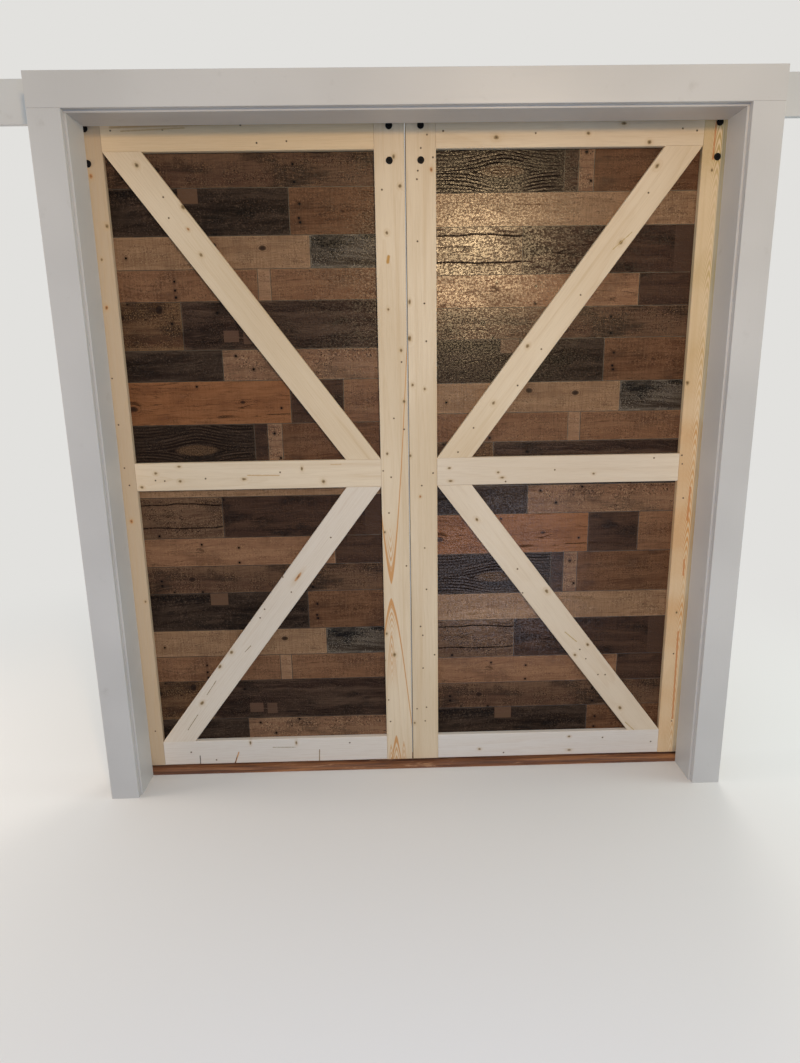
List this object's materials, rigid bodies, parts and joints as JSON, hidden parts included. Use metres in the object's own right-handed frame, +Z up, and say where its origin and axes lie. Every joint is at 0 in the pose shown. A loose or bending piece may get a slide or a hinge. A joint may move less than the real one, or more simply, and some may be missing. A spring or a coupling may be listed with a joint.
{
  "type": "pair of sliding barn doors with cased frame",
  "caption": "Bi-parting K-braced barn doors of pale pine over dark plank-print sheets, hung on a flat steel track behind a white cased opening.",
  "frame": {"origin": "on the floor, in the middle of the assembly's length and depth; the opening is centred on it", "axes": "+X to the right as seen from the cased side, +Y through the opening towards the doors and track, +Z up"},
  "size_m": [3.8316, 0.2222, 2.1833],
  "materials": {
    "white_trim": "white semi-gloss paint on boards",
    "white_header": "white paint on a board",
    "stained_oak": "reddish-brown stain, satin varnish",
    "pine": "bare knotty pine, smooth sanded",
    "printed_sheet": "hardboard with an embossed, semi-gloss print of old planks",
    "black_steel": "matt black powder coat",
    "black_fasteners": "satin black oxide",
    "bumper_rubber": "matt black rubber",
    "nylon": "black nylon"
  },
  "bodies": {
    "frame": {"casing_head": "white_trim", "casing_left": "white_trim", "casing_right": "white_trim", "center_stop": "black_steel", "end_stops": "black_steel", "floor_guides": "black_steel", "guide_screws": "black_fasteners", "header_board": "white_header", "jamb_head": "white_trim", "jamb_left": "white_trim", "jamb_right": "white_trim", "rail_lag_screws": "black_fasteners", "rail_left": "black_steel", "rail_right": "black_steel", "rail_spacers": "black_steel", "rail_splice": "black_steel", "splice_screws": "black_fasteners", "stop_bumpers": "bumper_rubber", "stop_screws": "black_fasteners", "threshold": "stained_oak"},
    "left_door": {"left_axle_bolts": "black_fasteners", "left_axle_nuts": "black_fasteners", "left_barrel_nuts": "black_fasteners", "left_front_brace_lower": "pine", "left_front_brace_upper": "pine", "left_front_rail_bottom": "pine", "left_front_rail_middle": "pine", "left_front_rail_top": "pine", "left_front_sheet": "printed_sheet", "left_front_stile_inner": "pine", "left_front_stile_outer": "pine", "left_hanger_bolts": "black_fasteners", "left_hanger_straps": "black_steel", "left_jump_discs": "nylon", "left_rear_braces": "pine", "left_rear_rails": "pine", "left_rear_sheet": "printed_sheet", "left_rear_stiles": "pine"},
    "right_door": {"right_axle_bolts": "black_fasteners", "right_axle_nuts": "black_fasteners", "right_barrel_nuts": "black_fasteners", "right_front_brace_lower": "pine", "right_front_brace_upper": "pine", "right_front_rail_bottom": "pine", "right_front_rail_middle": "pine", "right_front_rail_top": "pine", "right_front_sheet": "printed_sheet", "right_front_stile_inner": "pine", "right_front_stile_outer": "pine", "right_hanger_bolts": "black_fasteners", "right_hanger_straps": "black_steel", "right_jump_discs": "nylon", "right_rear_braces": "pine", "right_rear_rails": "pine", "right_rear_sheet": "printed_sheet", "right_rear_stiles": "pine"},
    "left_wheel_inner": {"left_wheel_inner": "black_steel"},
    "left_wheel_outer": {"left_wheel_outer": "black_steel"},
    "right_wheel_inner": {"right_wheel_inner": "black_steel"},
    "right_wheel_outer": {"right_wheel_outer": "black_steel"}
  },
  "joints": [
    {"name": "left_door_slide", "type": "slide", "parent": "frame", "child": "left_door", "axis": [-1, 0, 0], "range_m": [0, 0.90575]},
    {"name": "right_door_slide", "type": "slide", "parent": "frame", "child": "right_door", "axis": [1, 0, 0], "range_m": [0, 0.90575]},
    {"name": "left_wheel_inner_spin", "type": "hinge", "parent": "left_door", "child": "left_wheel_inner", "pos_m": [-0.0547, 0.0856, 2.1513], "axis": [0, -1, 0], "range_deg": [0, 2000]},
    {"name": "left_wheel_outer_spin", "type": "hinge", "parent": "left_door", "child": "left_wheel_outer", "pos_m": [-0.92355, 0.0856, 2.1513], "axis": [0, -1, 0], "range_deg": [0, 2000]},
    {"name": "right_wheel_inner_spin", "type": "hinge", "parent": "right_door", "child": "right_wheel_inner", "pos_m": [0.0367, 0.0856, 2.1513], "axis": [0, 1, 0], "range_deg": [0, 2000]},
    {"name": "right_wheel_outer_spin", "type": "hinge", "parent": "right_door", "child": "right_wheel_outer", "pos_m": [0.90555, 0.0856, 2.1513], "axis": [0, 1, 0], "range_deg": [0, 2000]}
  ],
  "couplings": [
    {"joint": "left_wheel_inner_spin", "follows": "left_door_slide", "rad_per_m": 38.462},
    {"joint": "left_wheel_outer_spin", "follows": "left_door_slide", "rad_per_m": 38.462},
    {"joint": "right_wheel_inner_spin", "follows": "right_door_slide", "rad_per_m": 38.462},
    {"joint": "right_wheel_outer_spin", "follows": "right_door_slide", "rad_per_m": 38.462}
  ]
}
